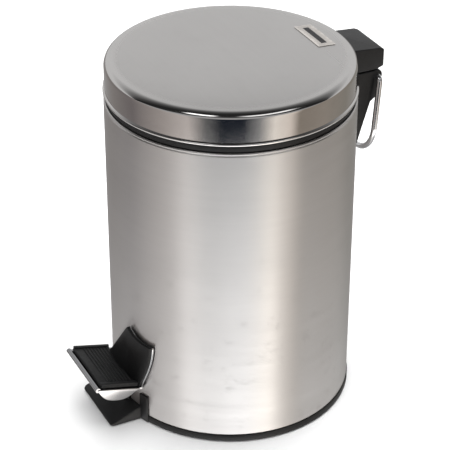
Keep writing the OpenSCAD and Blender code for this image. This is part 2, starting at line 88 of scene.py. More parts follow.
def pick(piece, kind, test):
    # kind is VERT, EDGE or FACE; the test gets a place, and for a face its normal too
    makeActive(piece)
    mesh = piece.data
    for part in (mesh.vertices, mesh.edges, mesh.polygons):
        part.foreach_set("select", [False] * len(part))
    if kind == "VERT":
        mesh.vertices.foreach_set("select", [bool(test(v.co)) for v in mesh.vertices])
    elif kind == "EDGE":
        spots = [v.co for v in mesh.vertices]
        mesh.edges.foreach_set(
            "select", [bool(test(spots[e.vertices[0]], spots[e.vertices[1]])) for e in mesh.edges])
    else:
        mesh.polygons.foreach_set("select", [bool(test(p.center, p.normal)) for p in mesh.polygons])
    bpy.context.tool_settings.mesh_select_mode = (kind == "VERT", kind == "EDGE", kind == "FACE")
    bpy.ops.object.mode_set(mode="EDIT")


def pickAll(piece):
    makeActive(piece)
    bpy.context.tool_settings.mesh_select_mode = (True, False, False)
    bpy.ops.object.mode_set(mode="EDIT")
    bpy.ops.mesh.select_all(action="SELECT")


def faceOutwards(piece, merge=0.00001):
    pickAll(piece)
    bpy.ops.mesh.remove_doubles(threshold=merge)
    bpy.ops.mesh.normals_make_consistent(inside=False)
    objectMode()


def drawLine(name, points):
    # one vertex, extruded from point to point, as a line is drawn by hand
    clearSelection()
    bpy.ops.mesh.primitive_plane_add(size=mm, location=points[0])
    line = named(name)
    pickAll(line)
    bpy.ops.mesh.merge(type="CENTER")
    for start, end in zip(points, points[1:]):
        step = Vector(end) - Vector(start)
        bpy.ops.mesh.extrude_region_move(TRANSFORM_OT_translate={"value": step})
    objectMode()
    return line


def closeLine(line):
    pickAll(line)
    bpy.ops.mesh.edge_face_add()
    objectMode()


def arcPoints(centre, radius, fromDeg, toDeg, count):
    # points on an arc in a two-number plane, both ends included
    turns = [math.radians(fromDeg + (toDeg - fromDeg) * i / count) for i in range(count + 1)]
    return [(centre[0] + radius * math.cos(t), centre[1] + radius * math.sin(t)) for t in turns]


def spinRound(name, section, steps=roundSteps, closed=True):
    # section is a list of (radius, height) in millimetres, turned about the drum's axis
    line = drawLine(name, [(r * mm, 0, z * mm) for r, z in section])
    pickAll(line)
    if closed:
        bpy.ops.mesh.edge_face_add()
        bpy.ops.mesh.delete(type="ONLY_FACE")
        bpy.ops.mesh.select_all(action="SELECT")
    bpy.ops.mesh.spin(steps=steps, angle=math.tau, center=(0, 0, 0), axis=(0, 0, 1))
    objectMode()
    faceOutwards(line)
    return line


def extrudeSide(name, outline, halfWidth):
    # outline is a list of (y, z) in millimetres, extruded along X to both sides
    line = drawLine(name, [(-halfWidth * mm, y * mm, z * mm) for y, z in outline])
    closeLine(line)
    pickAll(line)
    bpy.ops.mesh.extrude_region_move(TRANSFORM_OT_translate={"value": (2 * halfWidth * mm, 0, 0)})
    objectMode()
    faceOutwards(line)
    return line


def useModifier(piece, kind, **settings):
    makeActive(piece)
    modifier = piece.modifiers.new(kind.title(), kind)
    for key, value in settings.items():
        setattr(modifier, key, value)
    bpy.ops.object.modifier_apply(modifier=modifier.name)


def roundEdges(piece, width, segments=3, angle=35):
    useModifier(piece, "BEVEL", width=width * mm, segments=segments, limit_method="ANGLE",
                angle_limit=math.radians(angle), harden_normals=False)


def cutWith(piece, cutter, operation="DIFFERENCE"):
    useModifier(piece, "BOOLEAN", object=cutter, operation=operation, solver="EXACT")
    clearSelection()
    cutter.select_set(True)
    bpy.ops.object.delete()


def blockTool(low, high):
    # a plain block between two corners, in millimetres, used only to cut with
    clearSelection()
    middle = [(a + b) / 2 * mm for a, b in zip(low, high)]
    bpy.ops.mesh.primitive_cube_add(size=1, location=middle)
    bpy.context.active_object.scale = [(b - a) * mm for a, b in zip(low, high)]
    return named("cutTool")


def roundTool(radius, low, high, steps=roundSteps):
    clearSelection()
    bpy.ops.mesh.primitive_cylinder_add(vertices=steps, radius=radius * mm, depth=(high - low) * mm,
                                        location=(0, 0, (low + high) / 2 * mm))
    return named("roundTool")


def joinPieces(first, *others):
    makeActive(first)
    for other in others:
        other.select_set(True)
    bpy.ops.object.join()
    return first


def smoothFaces(piece, angle=30):
    makeActive(piece)
    bpy.ops.object.shade_smooth_by_angle(angle=math.radians(angle))


def finishPiece(piece, body, finish, slotName, *nodes, angle=30):
    smoothFaces(piece, angle)
    piece.data.materials.clear()
    piece.data.materials.append(finish)
    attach(piece, body)
    if nodes:
        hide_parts(*nodes)
    print("  made", piece.name, len(piece.data.polygons), "faces")
    return piece


# node helpers for the finishes
def newFinish(name, **sockets):
    finish = bpy.data.materials.new(name)
    finish.use_nodes = True
    nodes = finish.node_tree.nodes
    shader = nodes["Principled BSDF"]
    for key, value in sockets.items():
        shader.inputs[key.replace("_", " ")].default_value = value
    return finish, nodes, finish.node_tree.links, shader


def addNode(nodes, kind, **settings):
    node = nodes.new(kind)
    for key, value in settings.items():
        setattr(node, key, value)
    return node


def objectPlace(nodes, links, scale=(1, 1, 1)):
    place = addNode(nodes, "ShaderNodeTexCoord")
    mapping = addNode(nodes, "ShaderNodeMapping")
    mapping.inputs["Scale"].default_value = scale
    links.new(place.outputs["Object"], mapping.inputs["Vector"])
    return mapping.outputs["Vector"]


def noiseOn(nodes, links, vector, scale, detail=3, rough=0.6):
    noise = addNode(nodes, "ShaderNodeTexNoise")
    noise.inputs["Scale"].default_value = scale
    noise.inputs["Detail"].default_value = detail
    noise.inputs["Roughness"].default_value = rough
    links.new(vector, noise.inputs["Vector"])
    return noise.outputs["Fac"]


def mathOn(nodes, links, operation, first, second=None, third=None):
    node = addNode(nodes, "ShaderNodeMath", operation=operation)
    for socket, value in zip(node.inputs, (first, second, third)):
        if value is None:
            continue
        if isinstance(value, (int, float)):
            socket.default_value = value
        else:
            links.new(value, socket)
    return node.outputs["Value"]


def rampOn(nodes, links, value, stops, interpolation="LINEAR"):
    ramp = addNode(nodes, "ShaderNodeValToRGB")
    ramp.color_ramp.interpolation = interpolation
    band = ramp.color_ramp.elements
    while len(band) < len(stops):
        band.new(0.5)
    for stop, (at, color) in zip(band, stops):
        stop.position = at
        stop.color = (color, color, color, 1) if isinstance(color, (int, float)) else (*color, 1)
    links.new(value, ramp.inputs["Fac"])
    return ramp.outputs["Color"]


def rangeOn(nodes, links, value, fromLow, fromHigh, toLow, toHigh, smooth=False):
    node = addNode(nodes, "ShaderNodeMapRange")
    node.interpolation_type = "SMOOTHSTEP" if smooth else "LINEAR"
    for name, number in (("From Min", fromLow), ("From Max", fromHigh),
                         ("To Min", toLow), ("To Max", toHigh)):
        node.inputs[name].default_value = number
    links.new(value, node.inputs["Value"])
    return node.outputs["Result"]


def bumpOn(nodes, links, height, strength, distance, below=None):
    bump = addNode(nodes, "ShaderNodeBump")
    bump.inputs["Strength"].default_value = strength
    bump.inputs["Distance"].default_value = distance
    links.new(height, bump.inputs["Height"])
    if below is not None:
        links.new(below, bump.inputs["Normal"])
    return bump.outputs["Normal"]


def splitPlace(nodes, links, vector):
    parts = addNode(nodes, "ShaderNodeSeparateXYZ")
    links.new(vector, parts.inputs["Vector"])
    return parts.outputs


# finishes
def steelFinish(name, tone, rough, brush, seam=False, polished=None, streak=0.0):
    # brushed sheet steel: fine grain round the axis, soft cloudiness, light handling marks
    finish, nodes, links, shader = newFinish(name, Metallic=1.0, Anisotropic=streak,
                                             Anisotropic_Rotation=0.25)
    if streak:
        lay = addNode(nodes, "ShaderNodeTangent", direction_type="RADIAL", axis="Z")
        links.new(lay.outputs["Tangent"], shader.inputs["Tangent"])
    place = objectPlace(nodes, links)
    x, y, z = splitPlace(nodes, links, place)[:3]
    grainPlace = objectPlace(nodes, links, brush)
    grain = noiseOn(nodes, links, grainPlace, 60, 4, 0.7)
    fineGrain = noiseOn(nodes, links, grainPlace, 190, 2, 0.6)
    clouds = noiseOn(nodes, links, place, 14, 3, 0.55)
    marks = noiseOn(nodes, links, place, 90, 6, 0.75)
    both = mathOn(nodes, links, "ADD", mathOn(nodes, links, "MULTIPLY", grain, 0.6),
                  mathOn(nodes, links, "MULTIPLY", fineGrain, 0.4))
    shade = rangeOn(nodes, links, both, 0.3, 0.7, 0.965, 1.03)
    shade = mathOn(nodes, links, "MULTIPLY", shade, rangeOn(nodes, links, clouds, 0.3, 0.7, 0.97, 1.02))
    height = both
    if seam:
        # the welded joint runs down the back, behind the hinge
        near = rangeOn(nodes, links, mathOn(nodes, links, "ABSOLUTE", x), 0.0002, 0.0011, 1, 0, True)
        near = mathOn(nodes, links, "MULTIPLY", near, mathOn(nodes, links, "GREATER_THAN", y, 0))
        shade = mathOn(nodes, links, "MULTIPLY", shade, rangeOn(nodes, links, near, 0, 1, 1, 0.8))
        height = mathOn(nodes, links, "ADD", height, mathOn(nodes, links, "MULTIPLY", near, 1.5))
    tint = addNode(nodes, "ShaderNodeVectorMath", operation="SCALE")
    tint.inputs[0].default_value = tone
    links.new(shade, tint.inputs["Scale"])
    links.new(tint.outputs[0], shader.inputs["Base Color"])
    roughness = mathOn(nodes, links, "ADD", rangeOn(nodes, links, both, 0.3, 0.7, rough * 0.88, rough * 1.1),
                       rangeOn(nodes, links, marks, 0.56, 0.72, 0, rough * 0.22))
    if polished:
        # beyond this distance from the axis the sheet is drawn and buffed, so it mirrors more sharply
        squares = [mathOn(nodes, links, "MULTIPLY", side, side) for side in (x, y)]
        fromAxis = mathOn(nodes, links, "SQRT", mathOn(nodes, links, "ADD", *squares))
        buffed = rangeOn(nodes, links, fromAxis, polished[0] - 0.004, polished[0] + 0.002, 0, 1, True)
        change = mathOn(nodes, links, "MULTIPLY", buffed, 1 - polished[1] / rough)
        roughness = mathOn(nodes, links, "MULTIPLY", roughness, mathOn(nodes, links, "SUBTRACT", 1, change))
    links.new(roughness, shader.inputs["Roughness"])
    links.new(bumpOn(nodes, links, height, 0.05, 0.0002), shader.inputs["Normal"])
    return finish


def plasticFinish(name, tone, rough, grainSize, depth):
    # moulded plastic: fine spark-eroded grain, faint colour drift, paler rubbed edges
    finish, nodes, links, shader = newFinish(name, Specular_IOR_Level=0.35)
    place = objectPlace(nodes, links)
    grain = noiseOn(nodes, links, place, grainSize, 2, 0.6)
    drift = noiseOn(nodes, links, place, 25, 3, 0.5)
    scuff = noiseOn(nodes, links, place, 70, 7, 0.8)
    edge = addNode(nodes, "ShaderNodeNewGeometry").outputs["Pointiness"]
    worn = rangeOn(nodes, links, edge, 0.505, 0.56, 0, 1, True)
    worn = mathOn(nodes, links, "MULTIPLY", worn, rangeOn(nodes, links, scuff, 0.4, 0.6, 0.25, 1))
    shade = rangeOn(nodes, links, drift, 0.3, 0.7, 0.88, 1.12)
    shade = mathOn(nodes, links, "ADD", shade, mathOn(nodes, links, "MULTIPLY", worn, 0.7))
    tint = addNode(nodes, "ShaderNodeVectorMath", operation="SCALE")
    tint.inputs[0].default_value = tone
    links.new(shade, tint.inputs["Scale"])
    links.new(tint.outputs[0], shader.inputs["Base Color"])
    roughness = mathOn(nodes, links, "ADD", rangeOn(nodes, links, grain, 0.3, 0.7, rough * 0.9, rough * 1.1),
                       rangeOn(nodes, links, scuff, 0.55, 0.75, 0, -0.12))
    links.new(roughness, shader.inputs["Roughness"])
    links.new(bumpOn(nodes, links, grain, 0.35, depth), shader.inputs["Normal"])
    return finish


steelTone = (0.66, 0.645, 0.635)
drumSteel = steelFinish("drumSteel", steelTone, 0.36, (0.06, 0.06, 1), seam=True, streak=0.75)
lidSteel = steelFinish("lidSteel", steelTone, 0.3, (0.05, 1, 1), polished=(0.0785, 0.09))
chrome = steelFinish("chrome", (0.42, 0.42, 0.43), 0.12, (1, 1, 1))
wireSteel = steelFinish("wireSteel", (0.78, 0.78, 0.79), 0.14, (1, 1, 1))
mechSteel = steelFinish("mechSteel", (0.55, 0.55, 0.56), 0.34, (1, 0.05, 1))
blackPlastic = plasticFinish("blackPlastic", (0.006, 0.006, 0.0063), 0.42, 2600, 0.00012)
bucketPlastic = plasticFinish("bucketPlastic", (0.006, 0.006, 0.0063), 0.36, 1500, 0.0001)
treadPlastic = plasticFinish("treadPlastic", (0.008, 0.008, 0.0083), 0.5, 3200, 0.00015)
rubberFinish = plasticFinish("rubber", (0.02, 0.02, 0.02), 0.75, 2200, 0.0002)
badgeFinish = plasticFinish("badge", (0.27, 0.255, 0.24), 0.45, 1200, 0.00005)
print("finishes made")

# drum
drum = {"wall": 0.8, "bead": 0.9, "low": 6, "slotHalf": 12, "slotLow": 7, "slotHigh": 31}
outR = drumR / mm  # the drum's outside, in millimetres
beadAt = (outR - drum["bead"], drumTop / mm - drum["bead"])
groove = [(outR, beadAt[1] - 1.9), (outR - 0.1, beadAt[1] - 1.4), (outR - 0.4, beadAt[1] - 0.95)]
section = [(outR, drum["low"] + 0.3)] + groove + arcPoints(beadAt, drum["bead"], -35, 250, 18)
section += [(outR - drum["wall"], beadAt[1] - 1.4), (outR - drum["wall"], drum["low"]),
            (outR - 0.25, drum["low"])]
drumWall = spinRound("drumWall", section)
slotTool = blockTool((-drum["slotHalf"], -outR - 5, drum["slotLow"]),
                     (drum["slotHalf"], -outR + 20, drum["slotHigh"]))
cutWith(drumWall, slotTool)
finishPiece(drumWall, "bin", drumSteel, "drum_steel", "outer_body")

# lid
lid = {"wall": 0.8, "fillet": 5, "dome": 2.2, "hemHigh": 1.8, "hemOut": 1.2}
lidR = lidHigh.x / mm - lid["hemOut"]
lidZ, lidTop = lidLow.z / mm, lidHigh.z / mm
flatR = lidR - lid["fillet"]


def domeLine(drop, steps):
    # nearly flat in the middle and falling faster towards the shoulder
    spots = [1 - (i / steps) ** 1.5 for i in range(1, steps + 1)]
    return [(flatR * at, lidTop - drop - lid["dome"] * at ** 4) for at in spots]


turnAt = (flatR, lidTop - lid["dome"] - lid["fillet"])
hemR = 0.85
section = [(lidR, lidZ + lid["hemHigh"] + 0.7), (lidR, turnAt[1])]
section += arcPoints(turnAt, lid["fillet"], 0, 83, 16)[1:] + domeLine(0, 18)
section += list(reversed(domeLine(lid["wall"], 18)))
section += list(reversed(arcPoints(turnAt, lid["fillet"] - lid["wall"], 0, 83, 12)))
section += [(lidR - lid["wall"], lidZ + hemR)]
section += arcPoints((lidR + lid["hemOut"] - hemR, lidZ + hemR), hemR, 180, 360, 8)[1:]
section += arcPoints((lidR + lid["hemOut"] - hemR, lidZ + lid["hemHigh"] - hemR + 0.2), hemR, 0, 70, 4)
lidShell = spinRound("lidShell", section)
finishPiece(lidShell, "lid", lidSteel, "lid_steel", "lid_shell")

# badge on the lid
badge = {"width": 35, "long": 13, "fromHinge": 21.2, "thick": 0.4, "barWidth": 27, "barLong": 4.6,
         "barEdge": 0.3, "barTone": (0.012, 0.012, 0.013, 1)}
badgeY = lidR - badge["fromHinge"]
section = [(r, z + badge["thick"]) for r, z in [(flatR, lidTop - lid["dome"])] + domeLine(0, 18)]
section = [(flatR, lidTop - 5)] + section + [(0, lidTop - 5)]
badgePlate = spinRound("badgePlate", section)
badgeTool = blockTool((-badge["width"] / 2, badgeY - badge["long"] / 2, lidTop - 4),
                      (badge["width"] / 2, badgeY + badge["long"] / 2, lidTop + 2))
roundEdges(badgeTool, 0.8, 3)
cutWith(badgePlate, badgeTool, "INTERSECT")
section = [(flatR + 5, lidTop - 8), (flatR, lidTop - lid["dome"] + 0.02)]
section += [(r, z + 0.02) for r, z in domeLine(0, 18)] + [(0, lidTop - 8)]
domeTool = spinRound("domeTool", section)
cutWith(badgePlate, domeTool)
finishPiece(badgePlate, "lid", badgeFinish, "badge", "lid_label", angle=20)

# one plain dark bar printed along the middle of the badge
nodes, links = badgeFinish.node_tree.nodes, badgeFinish.node_tree.links
baseColor = next(node for node in nodes if node.type == "BSDF_PRINCIPLED").inputs["Base Color"]
barPlace = splitPlace(nodes, links, objectPlace(nodes, links, (1 / mm, 1 / mm, 1 / mm)))
along = mathOn(nodes, links, "ABSOLUTE", barPlace["X"])
across = mathOn(nodes, links, "ABSOLUTE", mathOn(nodes, links, "SUBTRACT", barPlace["Y"], badgeY))
barX, barY = badge["barWidth"] / 2, badge["barLong"] / 2
printed = mathOn(nodes, links, "MULTIPLY",
                 rangeOn(nodes, links, along, barX - badge["barEdge"], barX, 1, 0),
                 rangeOn(nodes, links, across, barY - badge["barEdge"], barY, 1, 0))
blend = addNode(nodes, "ShaderNodeMix", data_type="RGBA")
links.new(printed, blend.inputs["Factor"])
links.new(baseColor.links[0].from_socket, blend.inputs[6])
blend.inputs[7].default_value = badge["barTone"]
links.new(blend.outputs[2], baseColor)

# hinge housing, upper half
cap = {"wall": 1.8, "gap": 0.04}
capX = capHigh.x / mm
hy, hz = hingeY / mm, hingeZ / mm
capBack, capLowZ = capHigh.y / mm, capLow.z / mm
outline = [(outR - 6, capLowZ), (hy, capLowZ), (capBack, capLowZ + 1.8), (capBack, hz + 5),
           (hy + 2, hz + 6.6), (outR - 6, hz + 8.6)]
hingeCap = extrudeSide("hingeCap", outline, capX)
roundEdges(hingeCap, 0.7, 4, 20)
capWall = cap["wall"]
inside = [(outR - 20, capLowZ - 20), (capBack - capWall, capLowZ - 20), (capBack - capWall, hz + 5 - capWall),
          (hy + 1, hz + 6.4 - capWall), (outR - 20, hz + 8.9 - capWall)]
cutWith(hingeCap, extrudeSide("cutTool", inside, capX - capWall))
cutWith(hingeCap, roundTool(lidR + cap["gap"], farLow, farHigh))
cutWith(hingeCap, roundTool(outR + 0.4 + cap["gap"], farLow, lidZ + lid["hemHigh"] + 0.05))
flange = blockTool((-capX + capWall - 0.3, outR - 6, hz + 4.8), (capX - capWall + 0.3, outR + 2.5, hz + 7.4))
cutWith(flange, roundTool(lidR + cap["gap"], farLow, farHigh))
joinPieces(hingeCap, flange)
finishPiece(hingeCap, "lid", blackPlastic, "black_plastic", "hinge_cap")

# hinge housing, lower half
bracket = {"lug": 4.4, "armX": 11, "armT": 2.5, "armH": 3.4}
by, bz = bailY / mm, bailZ / mm
topZ = bz + bracket["lug"] - 0.4
stepZ, tipZ = bz - 16, bz - 52
reach = math.hypot(capBack - hy, hz - capLowZ - 1.8)
armBack = hy - reach - 0.6
outline = [(outR - 4, topZ), (armBack + 3, topZ)] + arcPoints((by, bz), bracket["lug"], 115, -40, 14)
outline += [(by + 0.6, bz - bracket["lug"] - 3), (by + 0.4, stepZ), (by - 4, stepZ - 3), (by - 9, stepZ - 19),
            (outR + 4, tipZ + 2), (outR - 4, tipZ)]
hingeBracket = extrudeSide("hingeBracket", outline, capX)
roundEdges(hingeBracket, 0.9, 4, 22)
cutWith(hingeBracket, roundTool(outR + 0.04, 100, 300))
for side in (-1, 1):
    middle = side * (bracket["armX"] + bracket["armT"] / 2)
    outline = [(outR + 1.6, topZ - 1), (armBack, topZ - 1), (armBack, hz - bracket["armH"])]
    outline += arcPoints((hy, hz), bracket["armH"], -90, 90, 16) + [(outR + 1.6, hz + bracket["armH"])]
    arm = extrudeSide("arm", outline, bracket["armT"] / 2)
    roundEdges(arm, 0.35, 2, 30)
    pickAll(arm)
    bpy.ops.transform.translate(value=(middle * mm, 0, 0))
    objectMode()
    joinPieces(hingeBracket, arm)
finishPiece(hingeBracket, "bin", blackPlastic, "black_plastic", "hinge_bracket")


# bent wire and tube
def bentWire(name, radius, start, heading, moves, sides=20):
    # a circle swept along straight runs ("go", vector) and bends ("turn", centre, axis, degrees)
    clearSelection()
    turned = Vector(heading).to_track_quat("Z", "Y").to_euler()
    bpy.ops.mesh.primitive_circle_add(vertices=sides, radius=radius * mm, location=[c * mm for c in start],
                                      rotation=turned)
    wire = named(name)
    pickAll(wire)
    for move in moves:
        if move[0] == "go":
            step = [c * mm for c in move[1]]
            bpy.ops.mesh.extrude_region_move(TRANSFORM_OT_translate={"value": step})
        else:
            centre = [c * mm for c in move[1]]
            steps = max(6, int(abs(move[3]) / 6))
            bpy.ops.mesh.spin(steps=steps, angle=-math.radians(move[3]), center=centre, axis=move[2])
    bpy.ops.mesh.select_all(action="SELECT")
    bpy.ops.mesh.fill_holes(sides=0)
    objectMode()
    faceOutwards(wire)
    return wire


# carry bail at the back
bail = {"wire": 2, "out": 22, "drop": 38, "bend": 3.2, "inset": 5, "lean": 4}
bailHalf = bail["out"]
bailBend = bail["bend"]
carryBail = bentWire("carryBail", bail["wire"], (-capX + bail["inset"], by, bz), (-1, 0, 0), [
    ("go", (-(bailHalf - bailBend - capX + bail["inset"]), 0, 0)),
    ("turn", (-bailHalf + bailBend, by, bz - bailBend), (0, 1, 0), -90),
    ("go", (0, 0, -(bail["drop"] - bailBend))),
    ("turn", (0, by, bz - bail["drop"]), (0, 1, 0), -180),
    ("go", (0, 0, bail["drop"] - bailBend)),
    ("turn", (bailHalf - bailBend, by, bz - bailBend), (0, 1, 0), -90),
    ("go", (-(bailHalf - bailBend - capX + bail["inset"]), 0, 0))])
pickAll(carryBail)
bpy.ops.transform.rotate(value=math.radians(bail["lean"]), orient_axis="X", center_override=(0, bailY, bailZ))
objectMode()
finishPiece(carryBail, "carry_bail", wireSteel, "bright_steel", "carry_bail", angle=50)

# pedal tray
pedal = {"slope": 14, "wide": 55, "long": 30, "thick": 1.2, "lip": 1.75, "skirt": 1.2, "deep": 8,
         "inner": 85.5, "z": 28.0, "cutGap": 0.92}


def intoTray(piece):
    # a piece modelled level with its inner end at the origin goes to the tray's place and slope
    makeActive(piece)
    piece.rotation_euler = (-math.radians(pedal["slope"]), 0, 0)
    piece.location = (0, -pedal["inner"] * mm, pedal["z"] * mm)
    bpy.ops.object.transform_apply(location=True, rotation=True, scale=True)
    return piece


half, length, thick = pedal["wide"] / 2, pedal["long"], pedal["thick"]
floorOutline = [(4, 0), (4, thick), (-length + 1.6, thick)]
floorOutline += arcPoints((-length, thick / 2), pedal["lip"], 40, 318, 20) + [(-length + 1.9, 0)]
trayFloor = extrudeSide("pedalTray", floorOutline, half - 0.5)
skirts = []
for side in (-1, 1):
    bow = [(-length * i / 24, -pedal["deep"] * (1 - abs(i / 12 - 1) ** 2.6)) for i in range(25)]
    skirt = extrudeSide("skirt", [(2, thick), (2, 0)] + bow[1:] + [(-length, thick)], pedal["skirt"] / 2)
    pickAll(skirt)
    bpy.ops.transform.translate(value=(side * (half - pedal["skirt"] / 2) * mm, 0, 0))
    objectMode()
    roundEdges(skirt, 0.3, 3, 40)
    intoTray(skirt)
    cutWith(skirt, roundTool(outR + pedal["cutGap"], 0, 100))
    skirts.append(skirt)
intoTray(trayFloor)
cutWith(trayFloor, roundTool(outR + pedal["cutGap"], 0, 100))
joinPieces(trayFloor, *skirts)

# guard and its bright back plate
guard = {"back": 0.9, "backThick": 0.8, "thick": 1.7, "half": 26.5, "peak": (15.5, 74), "tip": (38, 67),
         "low": 28.4}


def guardShape(name, inner, outer, shrink):
    # a sheet outlined flat, thickened, then kept only where it follows the drum; it leans to one side
    count = 20
    wide, low = guard["half"] - shrink, guard["low"]
    (peakX, peakZ), (tipX, tipZ) = guard["peak"], guard["tip"]
    peakZ, tipX = peakZ - shrink, tipX - shrink
    sideLine = [(wide + (tipX - wide) * math.sin(math.pi / 2 * i / count), low + (tipZ - low) * i / count)
                for i in range(count + 1)]
    topLine = [(tipX + (peakX - tipX) * i / count, tipZ + (peakZ - tipZ) * (i / count) ** 2.6)
               for i in range(1, count)]
    farLine = [((peakX + wide) * (i / count) ** 0.78 - wide, low + (peakZ - low) * i / count)
               for i in range(count, -1, -1)]
    points = [(x * mm, -(outer + 10) * mm, z * mm) for x, z in sideLine + topLine + farLine]
    sheet = drawLine(name, points)
    closeLine(sheet)
    pickAll(sheet)
    bpy.ops.mesh.extrude_region_move(TRANSFORM_OT_translate={"value": (0, 60 * mm, 0)})
    objectMode()
    faceOutwards(sheet)
    tool = spinRound("tool", [(inner, 0), (outer, 0), (outer, 100), (inner, 100)], 384)
    cutWith(sheet, tool, "INTERSECT")
    return sheet


def cutBelowTray(piece, height):
    tool = intoTray(blockTool((-60, -60, height - 40), (60, 60, height)))
    cutWith(piece, tool)


guardIn = outR + guard["back"] + guard["backThick"] + 0.04
backPlate = guardShape("backPlate", outR + guard["back"], guardIn - 0.05, 0)
cutBelowTray(backPlate, thick / 2)
roundEdges(backPlate, 0.15, 2, 50)
joinPieces(trayFloor, backPlate)
finishPiece(trayFloor, "pedal", chrome, "bright_steel", "pedal_tray", angle=40)
pedalGuard = guardShape("pedalGuard", guardIn, guardIn + guard["thick"] - 0.03, 0.4)
cutBelowTray(pedalGuard, thick + 0.02)
roundEdges(pedalGuard, 0.4, 4, 50)
finishPiece(pedalGuard, "pedal", blackPlastic, "black_plastic", "pedal_guard", angle=40)

# tread pad
pad = {"thick": 2.8, "side": 1.5, "ribs": 8, "pitch": 2.5, "ribWide": 1.2, "ribHigh": 0.8, "first": 3}
padHalf = half - pad["side"]
padOut = length - pedal["lip"] - 0.4
padTop = thick + pad["thick"]
treadPad = blockTool((-padHalf, -padOut, thick + 0.03), (padHalf, 4, padTop))
treadPad.name = "treadPad"
roundEdges(treadPad, 0.8, 4)
padParts = [treadPad]
ribLine = [(0, -0.3), (0.15, pad["ribHigh"] - 0.25), (0.35, pad["ribHigh"]),
           (pad["ribWide"] - 0.35, pad["ribHigh"]), (pad["ribWide"] - 0.15, pad["ribHigh"] - 0.25),
           (pad["ribWide"], -0.3)]
for number in range(pad["ribs"]):
    start = -pad["first"] - number * pad["pitch"] - pad["ribWide"]
    rib = extrudeSide("rib", [(start + y, padTop + z) for y, z in ribLine], padHalf - 4)
    padParts.append(rib)
for side in (-1, 1):
    low, high = (-padHalf, -padHalf + 3) if side < 0 else (padHalf - 3, padHalf)
    rim = blockTool((low, -padOut, padTop - 0.6), (high, 3.4, padTop + 1.05))
    roundEdges(rim, 0.5, 3)
    padParts.append(rim)
for part in padParts:
    intoTray(part)
    cutWith(part, roundTool(guardIn + guard["thick"], 0, 100))
joinPieces(*padParts)
finishPiece(treadPad, "pedal", treadPlastic, "tread_plastic", "tread_pad")

# base ring, floor, tongue and cheeks
base = {"out": 0.6, "low": 0.6, "high": 6, "spigot": 1.8, "spigotHigh": 8, "floorLow": 1.6, "floorHigh": 3.6,
        "tongueHalf": 25.5, "tongueLong": 20.5, "corner": 3, "nose": 2.4, "rise": 10.5,
        "cheekHigh": 22, "cheekIn": 24.5, "cheekThick": 7, "cheekOut": 1.4,
        "slotHalf": 12, "trench": 3.5, "hub": 14}
ringOut, inR = outR + base["out"], outR - drum["wall"]
spigotR, spigotTop = inR - base["spigot"], base["high"] + base["spigotHigh"]
section = [(ringOut, base["low"] + 0.5), (ringOut, base["high"] - 0.5), (ringOut - 0.15, base["high"] - 0.15),
           (ringOut - 0.5, base["high"]), (inR - 0.05, base["high"]), (inR - 0.05, spigotTop),
           (spigotR, spigotTop), (spigotR, base["floorHigh"]),
           (base["hub"], base["floorHigh"]), (0, base["floorHigh"]), (0, 0), (base["hub"] - 0.4, 0),
           (base["hub"], 0.4), (base["hub"], base["floorLow"]), (spigotR, base["floorLow"]),
           (spigotR, base["low"]), (ringOut - 0.5, base["low"])]
binBase = spinRound("binBase", section)
baseParts = [binBase]
nose = -outR - base["tongueLong"]
outline = [(-outR + 6, base["low"]), (nose, base["low"]), (nose, base["nose"]), (-outR, base["rise"]),
           (-outR + 6, base["rise"])]
tongue = extrudeSide("tongue", outline, base["tongueHalf"])
pick(tongue, "EDGE", lambda a, c: abs(a.y - c.y) < 1e-5 and abs(a.x - c.x) < 1e-5 and a.y < nose * mm + 1e-5)
bpy.ops.mesh.bevel(offset=base["corner"] * mm, segments=10, affect="EDGES")
objectMode()
roundEdges(tongue, 0.7, 3, 25)
cutWith(tongue, roundTool(outR + 0.04, -5, 100))
baseParts.append(tongue)
for side in (-1, 1):
    low, high = sorted((side * base["cheekIn"], side * (base["cheekIn"] + base["cheekThick"])))
    cheek = blockTool((low, -outR - 8, base["low"]), (high, -outR + 30, base["cheekHigh"]))
    cheekR = outR + base["cheekOut"]
    cheekRing = [(outR + 0.04, -2), (cheekR, -2), (cheekR, 50), (outR + 0.04, 50)]
    cutWith(cheek, spinRound("tool", cheekRing), "INTERSECT")
    roundEdges(cheek, 0.5, 3, 30)
    baseParts.append(cheek)
for part in baseParts[:2]:
    cutWith(part, blockTool((-base["slotHalf"], -outR - base["trench"], base["high"]),
                            (base["slotHalf"], 60, 60)))
joinPieces(*baseParts)
finishPiece(binBase, "bin", blackPlastic, "black_plastic", "base", angle=35)

# rubber feet
feet = {"radius": 6, "high": 1.58, "stud": 2.98, "studHigh": 2.4, "ring": 66, "count": 4}
footLine = [(0, 0), (feet["radius"] - 0.4, 0), (feet["radius"], 0.4), (feet["radius"] - 0.3, feet["high"]),
            (feet["stud"], feet["high"]), (feet["stud"], feet["studHigh"]), (0, feet["studHigh"])]
allFeet = None
for number in range(feet["count"]):
    foot = spinRound("rubberFeet", footLine, 40)
    turn = math.radians(45 + 90 * number)
    pickAll(foot)
    footSpot = Vector((math.cos(turn), math.sin(turn), 0)) * feet["ring"] * mm
    bpy.ops.transform.translate(value=footSpot)
    objectMode()
    allFeet = joinPieces(allFeet, foot) if allFeet else foot
finishPiece(allFeet, "bin", rubberFinish, "rubber", "rubber_feet")

# inner bucket
bucket = {"mouth": 73, "bottom": 66, "wall": 1.3, "flatY": 62, "rim": 1.5, "notch": 11, "skirt": 2.5}
bucketZ, rimTop, rimLow = bucketLow.z / mm, bucketHigh.z / mm, drumTop / mm + 0.03
rimR = bucketHigh.x / mm


